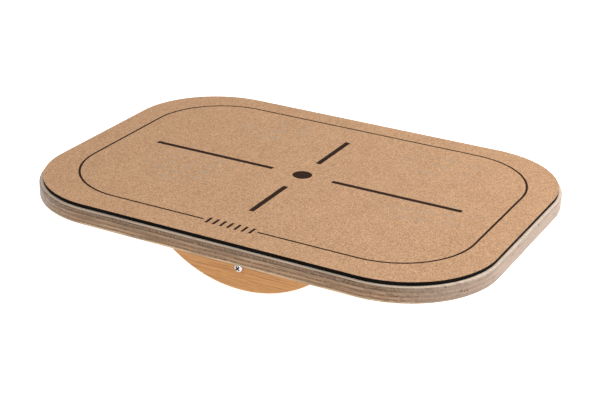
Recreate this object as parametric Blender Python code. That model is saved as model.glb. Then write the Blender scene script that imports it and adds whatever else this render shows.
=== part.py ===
"""Rocker balance board: a plywood deck under a cork and rubber mat, on two arc-shaped wooden rockers.

Metres, +Z up. The origin is on the floor, midway between the two rockers. X runs along the deck, which
rocks about Y. Both rockers and their screws are one design, turned half a turn about Z for the rear.
"""

import math

import bmesh
import bpy
from mathutils import Vector

# Deck: one plywood board with rounded corners and softened edges.
DECK_LENGTH = 0.450
DECK_WIDTH = 0.320
DECK_THICKNESS = 0.0147
DECK_CORNER_RADIUS = 0.090
DECK_EDGE_RADIUS = 0.002

# Mat: a rubber backing and a thin cork sheet, set in from the deck's edge, a little nearer the rear.
MAT_INSET = 0.0033
MAT_OFFSET_Y = 0.0005
RUBBER_THICKNESS = 0.0025
CORK_THICKNESS = 0.0006

# Markings cut into the cork: a border line with a break at the front, a cross of four bars and a dot.
MARK_DEPTH = 0.0002
MARK_OFFSET_Y = 0.003
BORDER_MARGIN = 0.0298
BORDER_CORNER_RADIUS = 0.0738
BORDER_LINE_WIDTH = 0.0022
DOT_DIAMETER = 0.0185
BAR_WIDTH = 0.0052
BAR_TO_DOT = 0.022
BAR_TO_BORDER = 0.035
TICK_COUNT = 7
TICK_SPACING = 0.0072
TICK_WIDTH = 0.0026
TICK_HEIGHT = 0.011
TICKS_TO_BORDER = 0.004

# Rockers: flat plates whose lower edge is an arc.
ROCKER_RADIUS = 0.118
ROCKER_DEPTH = 0.0505
ROCKER_THICKNESS = 0.018
ROCKER_OUTER_FACE = 0.112
ROCKER_EDGE_RADIUS = 0.0012

# Stretcher: a round bar between the rockers, let into a blind socket in each.
STRETCHER_DIAMETER = 0.022
STRETCHER_DROP = 0.0284
SOCKET_DEPTH = 0.006

# Deck screws: countersunk, from the deck's top down into the rockers.
DECK_SCREW_DIAMETER = 0.004
DECK_SCREW_LENGTH = 0.035
DECK_SCREW_HEAD_DIAMETER = 0.008
DECK_SCREW_THREAD = 0.020
DECK_SCREW_PITCH = 0.002
INNER_SCREW_X = 0.026
OUTER_SCREW_TO_ROCKER_END = 0.032

# Stretcher screws: pan head, through each rocker into the end of the bar.
PAN_SCREW_DIAMETER = 0.0045
PAN_SCREW_LENGTH = 0.040
PAN_HEAD_DIAMETER = 0.0082
PAN_HEAD_HEIGHT = 0.0027
PAN_HEAD_SIDE = 0.0007
PAN_DOME_ANGLE = math.radians(58)
PAN_SCREW_THREAD = 0.024
PAN_SCREW_PITCH = 0.002

# Screw details shared by both kinds.
ROOT_SHARE = 0.66
SHANK_SHARE = 0.74
TIP_LENGTH = 0.004
RECESS_SLOT_SHARE = 0.14
RECESS_REACH_SHARE = 0.30
RECESS_DEPTH = 0.0016
RECESS_TAPER = 0.55

# Clearances: between faces that are glued or bear on each other, and around screws and the bar.
FACE_GAP = 0.0003
HOLE_CLEARANCE = 0.0003
HOLE_END_CLEARANCE = 0.0008
CUT_OVERRUN = 0.002

# How finely arcs are cut up. The rockers' count is odd, so that the board stands on a flat facet.
CORNER_STEPS = 24
EDGE_STEPS = 3
ROCKER_STEPS = 111
ROUND_STEPS = 32
SCREW_STEPS = 12
DOME_STEPS = 4

# Heights and places that follow from the sizes above.
DECK_BOTTOM = ROCKER_DEPTH
DECK_TOP = DECK_BOTTOM + DECK_THICKNESS
RUBBER_BOTTOM = DECK_TOP + FACE_GAP
CORK_BOTTOM = RUBBER_BOTTOM + RUBBER_THICKNESS + FACE_GAP
CORK_TOP = CORK_BOTTOM + CORK_THICKNESS
ROCKER_TOP = DECK_BOTTOM - FACE_GAP
STRETCHER_HEIGHT = DECK_BOTTOM - STRETCHER_DROP
ROCKER_INNER_FACE = ROCKER_OUTER_FACE - ROCKER_THICKNESS
ROCKER_CENTRE = ROCKER_OUTER_FACE - ROCKER_THICKNESS / 2
ROCKER_HALF_LENGTH = math.sqrt(ROCKER_RADIUS**2 - (ROCKER_RADIUS - ROCKER_TOP) ** 2)
OUTER_SCREW_X = ROCKER_HALF_LENGTH - OUTER_SCREW_TO_ROCKER_END
SCREW_ROW = (-OUTER_SCREW_X, -INNER_SCREW_X, INNER_SCREW_X, OUTER_SCREW_X)
DECK_SCREW_TOP = DECK_TOP - FACE_GAP
DECK_SCREW_TIP = DECK_SCREW_TOP - DECK_SCREW_LENGTH
DECK_HOLE_RADIUS = DECK_SCREW_DIAMETER / 2 + HOLE_CLEARANCE
PAN_HOLE_RADIUS = PAN_SCREW_DIAMETER / 2 + HOLE_CLEARANCE
BORDER_HALF_X = DECK_LENGTH / 2 - BORDER_MARGIN
BORDER_HALF_Y = DECK_WIDTH / 2 - BORDER_MARGIN
BORDER_BREAK = (TICK_COUNT - 1) * TICK_SPACING + TICK_WIDTH + 2 * TICKS_TO_BORDER
SMOOTH_ANGLE = math.radians(35)


def clear_scene():
    """Remove every object that the scene starts with."""
    for obj in list(bpy.data.objects):
        bpy.data.objects.remove(obj, do_unlink=True)


def principled(name, color, roughness, metallic=0.0):
    """A plain Principled BSDF material."""
    material = bpy.data.materials.new(name)
    material.use_nodes = True
    shader = material.node_tree.nodes["Principled BSDF"]
    shader.inputs["Base Color"].default_value = (*color, 1.0)
    shader.inputs["Roughness"].default_value = roughness
    shader.inputs["Metallic"].default_value = metallic
    material.diffuse_color = (*color, 1.0)
    return material


def add_object(name, bm, parent, material=None, location=(0, 0, 0), rotation=(0, 0, 0)):
    """Turn a bmesh into an object; one without a material is a cutter."""
    bmesh.ops.recalc_face_normals(bm, faces=bm.faces)
    mesh = bpy.data.meshes.new(name)
    bm.to_mesh(mesh)
    bm.free()
    mesh.shade_smooth()
    mesh.set_sharp_from_angle(angle=SMOOTH_ANGLE)
    obj = bpy.data.objects.new(name, mesh)
    obj.location = location
    obj.rotation_euler = rotation
    obj.parent = parent
    bpy.context.scene.collection.objects.link(obj)
    if material is None:
        obj.hide_render = True
        obj.display_type = "WIRE"
    else:
        mesh.materials.append(material)
    return obj


def cut(obj, cutter):
    """Take the cutter's shape away from the object."""
    modifier = obj.modifiers.new(cutter.name, "BOOLEAN")
    modifier.operation = "DIFFERENCE"
    modifier.solver = "EXACT"
    modifier.object = cutter


def loft(bm, rings, cap=True):
    """Join rings of equally many points with quads, and close the first and last."""
    loops = [[bm.verts.new(point) for point in ring] for ring in rings]
    for lower, upper in zip(loops, loops[1:]):
        for i in range(len(lower)):
            j = (i + 1) % len(lower)
            bm.faces.new((lower[i], lower[j], upper[j], upper[i]))
    if cap:
        bm.faces.new(reversed(loops[0]))
        bm.faces.new(loops[-1])
    return loops


def rounded_outline(half_x, half_y, radius, z):
    """The points of a rectangle with round corners, anticlockwise from the right-hand end."""
    points = []
    for quarter in range(4):
        side_x = 1 if quarter in (0, 3) else -1
        side_y = 1 if quarter in (0, 1) else -1
        for step in range(CORNER_STEPS + 1):
            angle = (quarter + step / CORNER_STEPS) * math.pi / 2
            x = side_x * (half_x - radius) + radius * math.cos(angle)
            y = side_y * (half_y - radius) + radius * math.sin(angle)
            points.append(Vector((x, y, z)))
    return points


def edge_profile(bottom, top, radius):
    """(inset, height) pairs from the bottom face to the top face, round both edges."""
    if radius <= 0:
        return [(0, bottom), (0, top)]
    profile = []
    for step in range(EDGE_STEPS + 1):
        angle = step / EDGE_STEPS * math.pi / 2
        profile.append((radius * (1 - math.sin(angle)), bottom + radius * (1 - math.cos(angle))))
    for step in range(EDGE_STEPS + 1):
        angle = step / EDGE_STEPS * math.pi / 2
        profile.append((radius * (1 - math.cos(angle)), top - radius * (1 - math.sin(angle))))
    return profile


def slab(bm, half_x, half_y, corner, bottom, top, edge=0.0):
    """A flat board with round corners and, where edge is given, round edges."""
    rings = []
    for inset, height in edge_profile(bottom, top, edge):
        rings.append(rounded_outline(half_x - inset, half_y - inset, corner - inset, height))
    loft(bm, rings)


def turned(bm, profile, steps, centre=(0, 0, 0)):
    """A turned solid on a vertical axis from (radius, height) pairs, bottom to top."""
    rings = []
    for radius, height in profile:
        ring = []
        for step in range(steps):
            angle = 2 * math.pi * step / steps
            offset = Vector((radius * math.cos(angle), radius * math.sin(angle), height))
            ring.append(Vector(centre) + offset)
        rings.append(ring)
    loft(bm, rings)


def stroke(bm, path, width, bottom, top):
    """A raised line of the given width along (point, side) pairs, square at both ends."""
    rings = []
    for point, side in path:
        near = point + side * width / 2
        far = point - side * width / 2
        corners = ((near, bottom), (near, top), (far, top), (far, bottom))
        rings.append([(place.x, place.y, height) for place, height in corners])
    loft(bm, rings)


def straight(start, end):
    """A stroke's path between two points."""
    start = Vector(start)
    end = Vector(end)
    side = (end - start).normalized().orthogonal()
    return [(start, side), (end, side)]


def screw_hole_places():
    """(x, y) of every deck screw, front row first, each row from left to right."""
    return [(x, y) for y in (-ROCKER_CENTRE, ROCKER_CENTRE) for x in SCREW_ROW]


def countersunk_hole(bm, x, y):
    """The clearance hole and countersink of one deck screw, through the deck."""
    head = DECK_SCREW_HEAD_DIAMETER / 2 + HOLE_CLEARANCE
    cone = head - DECK_HOLE_RADIUS
    profile = [
        (DECK_HOLE_RADIUS, DECK_BOTTOM - CUT_OVERRUN),
        (DECK_HOLE_RADIUS, DECK_SCREW_TOP - cone),
        (head, DECK_SCREW_TOP),
        (head, DECK_TOP + CUT_OVERRUN),
    ]
    turned(bm, profile, SCREW_STEPS * 2, (x, y, 0))


def make_deck(parent):
    """The plywood deck, drilled for the screws that hold the rockers."""
    bm = bmesh.new()
    slab(bm, DECK_LENGTH / 2, DECK_WIDTH / 2, DECK_CORNER_RADIUS, DECK_BOTTOM, DECK_TOP, DECK_EDGE_RADIUS)
    deck = add_object("plywood_deck", bm, parent, principled("plywood", (0.62, 0.48, 0.36), 0.55))
    holes = bmesh.new()
    for x, y in screw_hole_places():
        countersunk_hole(holes, x, y)
    cut(deck, add_object("deck_hole_cutter", holes, parent))


def mat_slab(bm, bottom, top):
    """The mat's outline between two heights."""
    half_x = DECK_LENGTH / 2 - MAT_INSET
    half_y = DECK_WIDTH / 2 - MAT_INSET
    slab(bm, half_x, half_y, DECK_CORNER_RADIUS - MAT_INSET, bottom, top)
    bmesh.ops.translate(bm, verts=bm.verts, vec=(0, MAT_OFFSET_Y, 0))


def make_rubber(parent):
    """The black rubber backing between the deck and the cork."""
    bm = bmesh.new()
    mat_slab(bm, RUBBER_BOTTOM, RUBBER_BOTTOM + RUBBER_THICKNESS)
    add_object("rubber_backing", bm, parent, principled("rubber", (0.012, 0.012, 0.013), 0.7))


def border_path():
    """The border line's path, from the right of its break round to the left of it."""
    radius = min(BORDER_CORNER_RADIUS, BORDER_HALF_X, BORDER_HALF_Y)
    front = MARK_OFFSET_Y - BORDER_HALF_Y
    path = [(Vector((BORDER_BREAK / 2, front)), Vector((0, -1)))]
    for quarter in (3, 0, 1, 2):
        side_x = 1 if quarter in (0, 3) else -1
        side_y = 1 if quarter in (0, 1) else -1
        y = MARK_OFFSET_Y + side_y * (BORDER_HALF_Y - radius)
        centre = Vector((side_x * (BORDER_HALF_X - radius), y))
        for step in range(CORNER_STEPS + 1):
            angle = (quarter + step / CORNER_STEPS) * math.pi / 2
            side = Vector((math.cos(angle), math.sin(angle)))
            path.append((centre + side * radius, side))
    path.append((Vector((-BORDER_BREAK / 2, front)), Vector((0, -1))))
    return path


def cross_paths():
    """The paths of the four bars around the dot."""
    start = DOT_DIAMETER / 2 + BAR_TO_DOT
    end_x = BORDER_HALF_X - BAR_TO_BORDER
    end_y = BORDER_HALF_Y - BAR_TO_BORDER
    y = MARK_OFFSET_Y
    for side in (-1, 1):
        yield straight((side * start, y), (side * end_x, y))
        yield straight((0, y + side * start), (0, y + side * end_y))


def tick_paths():
    """The paths of the short centre ticks that fill the break in the border."""
    middle = MARK_OFFSET_Y - BORDER_HALF_Y
    for i in range(TICK_COUNT):
        x = (i - (TICK_COUNT - 1) / 2) * TICK_SPACING
        yield straight((x, middle - TICK_HEIGHT / 2), (x, middle + TICK_HEIGHT / 2))


def make_cork(parent):
    """The cork sheet, with its markings as shallow recesses."""
    bm = bmesh.new()
    mat_slab(bm, CORK_BOTTOM, CORK_TOP)
    cork = add_object("cork_sheet", bm, parent, principled("cork", (0.62, 0.38, 0.20), 0.85))
    marks = bmesh.new()
    floor = CORK_TOP - MARK_DEPTH
    roof = CORK_TOP + MARK_DEPTH
    stroke(marks, border_path(), BORDER_LINE_WIDTH, floor, roof)
    for path in cross_paths():
        stroke(marks, path, BAR_WIDTH, floor, roof)
    for path in tick_paths():
        stroke(marks, path, TICK_WIDTH, floor, roof)
    dot = DOT_DIAMETER / 2
    turned(marks, [(dot, floor), (dot, roof)], ROUND_STEPS, (0, MARK_OFFSET_Y, 0))
    cut(cork, add_object("marking_cutter", marks, parent))


def rocker_outline(inset, y):
    """The rocker's edge at one depth: an arc below, closed by the flat top."""
    radius = ROCKER_RADIUS - inset
    reach = math.acos((ROCKER_RADIUS - ROCKER_TOP) / radius)
    points = []
    for step in range(ROCKER_STEPS + 1):
        angle = reach * (2 * step / ROCKER_STEPS - 1)
        points.append((radius * math.sin(angle), y, ROCKER_RADIUS - radius * math.cos(angle)))
    return points


def rocker_cutter(bm):
    """The socket, the stretcher screw's hole and the deck screws' holes, outer face towards -Y."""
    inner = ROCKER_THICKNESS / 2
    socket = STRETCHER_DIAMETER / 2 + HOLE_CLEARANCE
    profile = [
        (PAN_HOLE_RADIUS, -inner - CUT_OVERRUN),
        (PAN_HOLE_RADIUS, inner - SOCKET_DEPTH),
        (socket, inner - SOCKET_DEPTH),
        (socket, inner + CUT_OVERRUN),
    ]
    turned(bm, profile, ROUND_STEPS)
    bmesh.ops.rotate(bm, verts=bm.verts, cent=(0, 0, 0), matrix=upright_to_y())
    bmesh.ops.translate(bm, verts=bm.verts, vec=(0, 0, STRETCHER_HEIGHT))
    tip = DECK_SCREW_TIP - HOLE_END_CLEARANCE
    top = ROCKER_TOP + CUT_OVERRUN
    for x in SCREW_ROW:
        turned(bm, [(DECK_HOLE_RADIUS, tip), (DECK_HOLE_RADIUS, top)], SCREW_STEPS * 2, (x, 0, 0))


def upright_to_y():
    """The turn that lays +Z along +Y."""
    return Vector((0, 0, 1)).rotation_difference(Vector((0, 1, 0))).to_matrix()


def make_rocker(end, side, parent, material):
    """One rocker, drilled and socketed; side is -1 at the front and 1 at the rear."""
    bm = bmesh.new()
    half = ROCKER_THICKNESS / 2
    loft(bm, [rocker_outline(inset, y) for inset, y in edge_profile(-half, half, ROCKER_EDGE_RADIUS)])
    turn = (0, 0, 0 if side < 0 else math.pi)
    rocker = add_object(f"rocker_{end}", bm, parent, material, (0, side * ROCKER_CENTRE, 0), turn)
    holes = bmesh.new()
    rocker_cutter(holes)
    cut(rocker, add_object(f"rocker_{end}_cutter", holes, rocker))


def make_stretcher(parent):
    """The round bar between the rockers, drilled at both ends for its screws."""
    half = ROCKER_INNER_FACE + SOCKET_DEPTH - FACE_GAP
    radius = STRETCHER_DIAMETER / 2
    bm = bmesh.new()
    turned(bm, [(radius, -half), (radius, half)], ROUND_STEPS)
    lay_down = upright_to_y().to_euler()
    place = (0, 0, STRETCHER_HEIGHT)
    beech = principled("beech", (0.66, 0.44, 0.27), 0.5)
    bar = add_object("stretcher_bar", bm, parent, beech, place, lay_down)
    tip = ROCKER_OUTER_FACE + FACE_GAP - PAN_SCREW_LENGTH - HOLE_END_CLEARANCE
    holes = bmesh.new()
    for side in (-1, 1):
        ends = sorted((side * tip, side * (half + CUT_OVERRUN)))
        turned(holes, [(PAN_HOLE_RADIUS, height) for height in ends], SCREW_STEPS * 2)
    cut(bar, add_object("stretcher_cutter", holes, bar))


def threaded_shank(bm, top_loop, diameter, thread_top, thread_length, tip, pitch):
    """A helical wood-screw thread below a loop of points, run out to a point at the tip."""
    root_radius = diameter / 2 * ROOT_SHARE
    count = int(round((thread_length - TIP_LENGTH) / pitch)) * SCREW_STEPS

    def around(index, radius, height):
        angle = 2 * math.pi * index / SCREW_STEPS
        return bm.verts.new((radius * math.cos(angle), radius * math.sin(angle), height))

    def height_at(index):
        return thread_top - pitch * index / SCREW_STEPS

    root = [around(i, root_radius, height_at(i)) for i in range(count + 1)]
    crest = [around(i, diameter / 2, height_at(i) - pitch / 2) for i in range(count - SCREW_STEPS + 1)]
    for i in range(len(crest) - 1):
        bm.faces.new((root[i], root[i + 1], crest[i + 1], crest[i]))
        bm.faces.new((crest[i], crest[i + 1], root[i + 1 + SCREW_STEPS], root[i + SCREW_STEPS]))
    bm.faces.new((root[0], crest[0], root[SCREW_STEPS]))
    bm.faces.new((root[-1 - SCREW_STEPS], root[-1], crest[-1]))

    upper = top_loop + top_loop[:1]
    for i in range(SCREW_STEPS - 1):
        bm.faces.new((upper[i], upper[i + 1], root[i + 1], root[i]))
    last = SCREW_STEPS - 1
    bm.faces.new((upper[last], upper[last + 1], root[0]))
    bm.faces.new((upper[last], root[0], root[SCREW_STEPS]))
    bm.faces.new((upper[last], root[SCREW_STEPS], root[last]))

    point = bm.verts.new((0, 0, tip))
    lowest = root[count - SCREW_STEPS:]
    for i in range(SCREW_STEPS):
        bm.faces.new((lowest[i], lowest[i + 1], point))
    bm.faces.new((lowest[0], point, lowest[-1]))


def cross_recess(bm, diameter, top):
    """A tapering plus-shaped cutter that opens upwards through the head's top."""
    slot = diameter * RECESS_SLOT_SHARE / 2
    reach = diameter * RECESS_REACH_SHARE
    rings = []
    for scale, height in ((RECESS_TAPER, top - RECESS_DEPTH), (1.0, top), (1.0, top + RECESS_DEPTH)):
        ring = []
        for quarter in range(4):
            turn = math.pi / 4 + quarter * math.pi / 2
            along = Vector((math.cos(turn), math.sin(turn)))
            across = Vector((-along.y, along.x))
            for point in (
                along * reach * scale - across * slot,
                along * reach * scale + across * slot,
                along * slot + across * slot,
            ):
                ring.append((point.x, point.y, height))
        rings.append(ring)
    loft(bm, rings)


def make_screw(name, profile, sizes, recess, parent, material, location, rotation=(0, 0, 0)):
    """A wood screw standing on its tip: head profile, shank, thread and cross recess."""
    diameter, length, thread, pitch = sizes
    bm = bmesh.new()
    rings = []
    for radius, height in profile + [(diameter / 2 * SHANK_SHARE, -length + thread + pitch / 2)]:
        ring = []
        for step in range(SCREW_STEPS):
            angle = 2 * math.pi * step / SCREW_STEPS
            ring.append((radius * math.cos(angle), radius * math.sin(angle), height))
        rings.append(ring)
    loops = loft(bm, rings, cap=False)
    bm.faces.new(loops[0])
    threaded_shank(bm, loops[-1], diameter, -length + thread, thread, -length, pitch)
    screw = add_object(name, bm, parent, material, location, rotation)
    cutter = bmesh.new()
    cross_recess(cutter, recess[0], recess[1])
    cut(screw, add_object(f"{name}_cutter", cutter, screw))


def countersunk_profile():
    """(radius, height) pairs of the flat head, from its top down to the shank."""
    head = DECK_SCREW_HEAD_DIAMETER / 2
    shank = DECK_SCREW_DIAMETER / 2 * SHANK_SHARE
    return [(head, 0), (shank, shank - head)]


def pan_profile():
    """(radius, height) pairs of the domed head, from its top down to its bearing face and the shank."""
    head = PAN_HEAD_DIAMETER / 2
    dome = (PAN_HEAD_HEIGHT - PAN_HEAD_SIDE) / math.sin(PAN_DOME_ANGLE)
    profile = []
    for step in range(DOME_STEPS, -1, -1):
        angle = PAN_DOME_ANGLE * step / DOME_STEPS
        profile.append((head * math.cos(angle), PAN_HEAD_SIDE + dome * math.sin(angle)))
    shank = PAN_SCREW_DIAMETER / 2 * SHANK_SHARE
    return profile + [(head, 0), (shank, 0)]


def make_deck_screws(parent, material):
    """Eight countersunk screws, four above each rocker."""
    sizes = (DECK_SCREW_DIAMETER, DECK_SCREW_LENGTH, DECK_SCREW_THREAD, DECK_SCREW_PITCH)
    recess = (DECK_SCREW_HEAD_DIAMETER, 0)
    for i, (x, y) in enumerate(screw_hole_places()):
        end = "front" if y < 0 else "rear"
        name = f"deck_screw_{end}_{i % 4 + 1}"
        place = (x, y, DECK_SCREW_TOP)
        make_screw(name, countersunk_profile(), sizes, recess, parent, material, place)


def make_stretcher_screws(parent, material):
    """A pan-head screw at each end of the stretcher, its head on the rocker's outer face."""
    sizes = (PAN_SCREW_DIAMETER, PAN_SCREW_LENGTH, PAN_SCREW_THREAD, PAN_SCREW_PITCH)
    recess = (PAN_HEAD_DIAMETER, PAN_HEAD_HEIGHT)
    for end, side in (("front", -1), ("rear", 1)):
        place = (0, side * (ROCKER_OUTER_FACE + FACE_GAP), STRETCHER_HEIGHT)
        turn = (-side * math.pi / 2, 0, 0)
        name = f"stretcher_screw_{end}"
        make_screw(name, pan_profile(), sizes, recess, parent, material, place, turn)


def main():
    clear_scene()
    board = bpy.data.objects.new("balance_board", None)
    bpy.context.scene.collection.objects.link(board)
    rocker_wood = principled("rocker_wood", (0.60, 0.33, 0.14), 0.45)
    zinc = principled("zinc_plated_steel", (0.80, 0.80, 0.82), 0.25, 1.0)
    make_deck(board)
    make_rubber(board)
    make_cork(board)
    for end, side in (("front", -1), ("rear", 1)):
        make_rocker(end, side, board, rocker_wood)
    make_stretcher(board)
    make_deck_screws(board, zinc)
    make_stretcher_screws(board, zinc)


main()
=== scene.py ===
"""Looks of a rocker balance board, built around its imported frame.

Everything is in metres, +Z up, in the frame's own place: X runs along the deck, Y from front to rear, and
the rockers stand on z = 0. Sizes that the frame holds are read from its boxes. Others are dataclass fields
of the piece that they belong to. Materials are laid out in millimetres.
"""

from __future__ import annotations

import logging
import math
from collections.abc import Sequence
from dataclasses import dataclass, fields
from enum import Enum
from typing import Any

import bmesh
import bpy
from bpy.types import Material, Mesh, Node, NodeSocket, NodeTree, Object
from mathutils import Matrix, Vector


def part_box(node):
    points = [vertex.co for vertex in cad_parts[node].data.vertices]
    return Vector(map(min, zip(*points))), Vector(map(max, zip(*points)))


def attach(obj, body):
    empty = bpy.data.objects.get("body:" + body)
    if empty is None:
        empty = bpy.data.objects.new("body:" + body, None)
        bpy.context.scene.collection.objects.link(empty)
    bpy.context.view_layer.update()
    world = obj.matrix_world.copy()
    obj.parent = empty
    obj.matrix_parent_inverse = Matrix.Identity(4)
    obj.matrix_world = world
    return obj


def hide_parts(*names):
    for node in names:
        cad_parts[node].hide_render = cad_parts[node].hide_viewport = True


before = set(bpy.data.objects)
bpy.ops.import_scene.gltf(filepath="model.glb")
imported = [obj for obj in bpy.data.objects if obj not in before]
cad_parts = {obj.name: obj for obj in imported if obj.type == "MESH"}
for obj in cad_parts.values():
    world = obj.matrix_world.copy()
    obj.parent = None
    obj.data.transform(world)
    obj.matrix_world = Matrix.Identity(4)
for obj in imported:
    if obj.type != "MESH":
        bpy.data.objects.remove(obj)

LOG = logging.getLogger("balance_board")
BODY = "root"
PER_MM = 1000.0
HAIR_GAP = 0.00002
SMOOTH_ANGLE = math.radians(35)
QUARTER_TURN = math.pi / 2
FULL_TURN = 2 * math.pi

Triple = tuple[float, float, float]
Pair = tuple[float, float]
Stops = tuple[tuple[float, Triple], ...]
Ring = list[Vector]
Inputs = dict[Any, Any] | None


class Grain(Enum):
    """The direction that a piece of wood's fibres run in."""

    ALONG_X = 0
    ALONG_Y = 1


class BoardEnd(Enum):
    """The two rockers' places; the value is the sign of Y."""

    FRONT = -1
    REAR = 1

    @property
    def label(self) -> str:
        """The end's name as the frame's nodes spell it."""
        return self.name.lower()


class HeadForm(Enum):
    """The two kinds of screw head on the board."""

    PAN = "pan"
    COUNTERSUNK = "countersunk"


# ---- Node building ----


def math_step(operation: str, swapped: bool = False) -> Any:
    """Make an operator of Wire.

    Args:
        operation: The Math node that it adds.
        swapped: Whether the other value comes first.

    Returns:
        The operator.
    """

    def apply(self: Wire, *other: Any) -> Wire:
        """Add the node."""
        return self.sheet.calc(operation, *((*other, self) if swapped else (self, *other)))

    return apply


class Wire:
    """A value that runs through a node tree; arithmetic on it adds Math nodes, and a test gives 1 or 0."""

    def __init__(self, sheet: NodeSheet, socket: NodeSocket) -> None:
        """Follow an output socket."""
        self.sheet, self.socket = sheet, socket

    __add__ = __radd__ = math_step("ADD")
    __mul__ = __rmul__ = math_step("MULTIPLY")
    __sub__, __rsub__ = math_step("SUBTRACT"), math_step("SUBTRACT", swapped=True)
    __truediv__, __abs__ = math_step("DIVIDE"), math_step("ABSOLUTE")
    __gt__, __lt__ = math_step("GREATER_THAN"), math_step("LESS_THAN")


class NodeSheet:
    """Short calls for adding and wiring nodes, shared by materials and Geometry Nodes trees."""

    def __init__(self, tree: NodeTree) -> None:
        """Work on the given tree."""
        self.tree = tree

    def node(self, kind: str, inputs: Inputs = None, **settings: Any) -> Node:
        """Add a node, set its properties, and set or wire its inputs.

        Args:
            kind: The node's type name.
            inputs: Values or wires by input name or index.
            **settings: Properties of the node itself.

        Returns:
            The new node.
        """
        made = self.tree.nodes.new(kind)
        for name, value in settings.items():
            setattr(made, name, value)
        for key, value in (inputs or {}).items():
            self.feed(made.inputs[key], value)
        return made

    def feed(self, socket: NodeSocket, value: Any) -> None:
        """Set or wire an input.

        Args:
            socket: The input.
            value: A wire, or a plain value.
        """
        if isinstance(value, Wire):
            self.tree.links.new(value.socket, socket)
        else:
            socket.default_value = value

    def wire(self, kind: str, inputs: Inputs = None, output: Any = 0, **settings: Any) -> Wire:
        """Add a node and follow one of its outputs, by index or name."""
        return Wire(self, self.node(kind, inputs, **settings).outputs[output])

    def calc(self, operation: str, *values: Any) -> Wire:
        """Add a Math node on numbers or wires."""
        return self.wire("ShaderNodeMath", dict(enumerate(values)), operation=operation)

    def vector(self, x: Any, y: Any, z: Any) -> Wire:
        """Join three numbers or wires into a vector."""
        return self.wire("ShaderNodeCombineXYZ", {0: x, 1: y, 2: z})

    def parts(self, vector: Wire) -> list[Wire]:
        """Split a vector into its X, Y and Z."""
        return [Wire(self, output) for output in self.node("ShaderNodeSeparateXYZ", {0: vector}).outputs]


class FinishSheet(NodeSheet):
    """A material under construction around one Principled BSDF."""

    def __init__(self, name: str) -> None:
        """Start a material.

        Args:
            name: The material's name.
        """
        self.material = bpy.data.materials.new(name)
        self.material.use_nodes = True
        super().__init__(self.material.node_tree)
        self.shader = self.tree.nodes["Principled BSDF"]
        coordinates = self.node("ShaderNodeTexCoord").outputs
        self.mm = self.stretched(Wire(self, coordinates["Object"]), (PER_MM, PER_MM, PER_MM))
        self.normal = Wire(self, coordinates["Normal"])

    def stretched(self, vector: Wire, scale: Triple) -> Wire:
        """Scale a vector along each axis, so that a pattern on it is drawn out."""
        return self.wire("ShaderNodeMapping", {"Vector": vector, "Scale": scale})

    def noise(self, vector: Wire, scale: float = 1.0, detail: float = 2.0, swirl: float = 0.0) -> Wire:
        """Add a noise of about 0.5, with scale features per unit and detail finer layers."""
        inputs = {"Vector": vector, "Scale": scale, "Detail": detail, "Distortion": swirl}
        return self.wire("ShaderNodeTexNoise", inputs)

    def cells(self, vector: Wire, size: float = 1.0, output: str = "Distance", feature: str = "F1") -> Wire:
        """Add a pattern of cells of about the given size."""
        inputs = {"Vector": vector, "Scale": 1 / size}
        return self.wire("ShaderNodeTexVoronoi", inputs, output, feature=feature)

    def between(self, value: Wire, low: float, high: float) -> Wire:
        """Step smoothly from 0 at low to 1 at high."""
        inputs = {"Value": value, "From Min": low, "From Max": high}
        return self.wire("ShaderNodeMapRange", inputs, interpolation_type="SMOOTHSTEP")

    def most(self, first: Any, second: Any) -> Wire:
        """Take the greater of two values."""
        return self.calc("MAXIMUM", first, second)

    def blend(self, amount: Wire, first: Wire, second: Any) -> Wire:
        """Mix two colours.

        Args:
            amount: 0 for the first colour, 1 for the second.
            first: A colour's wire.
            second: A colour or its wire.

        Returns:
            The mixed colour.
        """
        if isinstance(second, tuple):
            second = (*second, 1.0)
        return self.wire("ShaderNodeMix", {0: amount, 6: first, 7: second}, 2, data_type="RGBA")

    def ramp(self, value: Wire, stops: Stops, interpolation: str = "LINEAR") -> Wire:
        """Turn a value from 0 to 1 into a colour.

        Args:
            value: The place along the ramp.
            stops: Pairs of place and colour.
            interpolation: How the colour runs from one stop to the next.

        Returns:
            The colour at that place.
        """
        made = self.node("ShaderNodeValToRGB", {0: value})
        made.color_ramp.interpolation = interpolation
        elements = made.color_ramp.elements
        while len(elements) < len(stops):
            elements.new(0.5)
        for element, (place, colour) in zip(elements, stops):
            element.position = place
            element.color = (*colour, 1.0)
        return Wire(self, made.outputs[0])

    def bump(self, height: Wire, strength: float, distance: float) -> None:
        """Raise the surface by a height pattern, at most distance metres."""
        inputs = {"Height": height, "Strength": strength, "Distance": distance}
        self.feed(self.shader.inputs["Normal"], self.wire("ShaderNodeBump", inputs))

    def dress(self, colour: Wire | Triple, roughness: Wire | float, **constants: float) -> Material:
        """Set the shader's inputs.

        Args:
            colour: The base colour.
            roughness: The roughness.
            **constants: Other inputs by name, with _ for a space.

        Returns:
            The finished material.
        """
        plain = isinstance(colour, tuple)
        self.feed(self.shader.inputs["Base Color"], (*colour, 1.0) if plain else colour)
        self.feed(self.shader.inputs["Roughness"], roughness)
        for name, value in constants.items():
            self.shader.inputs[name.replace("_", " ")].default_value = value
        return self.material


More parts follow.
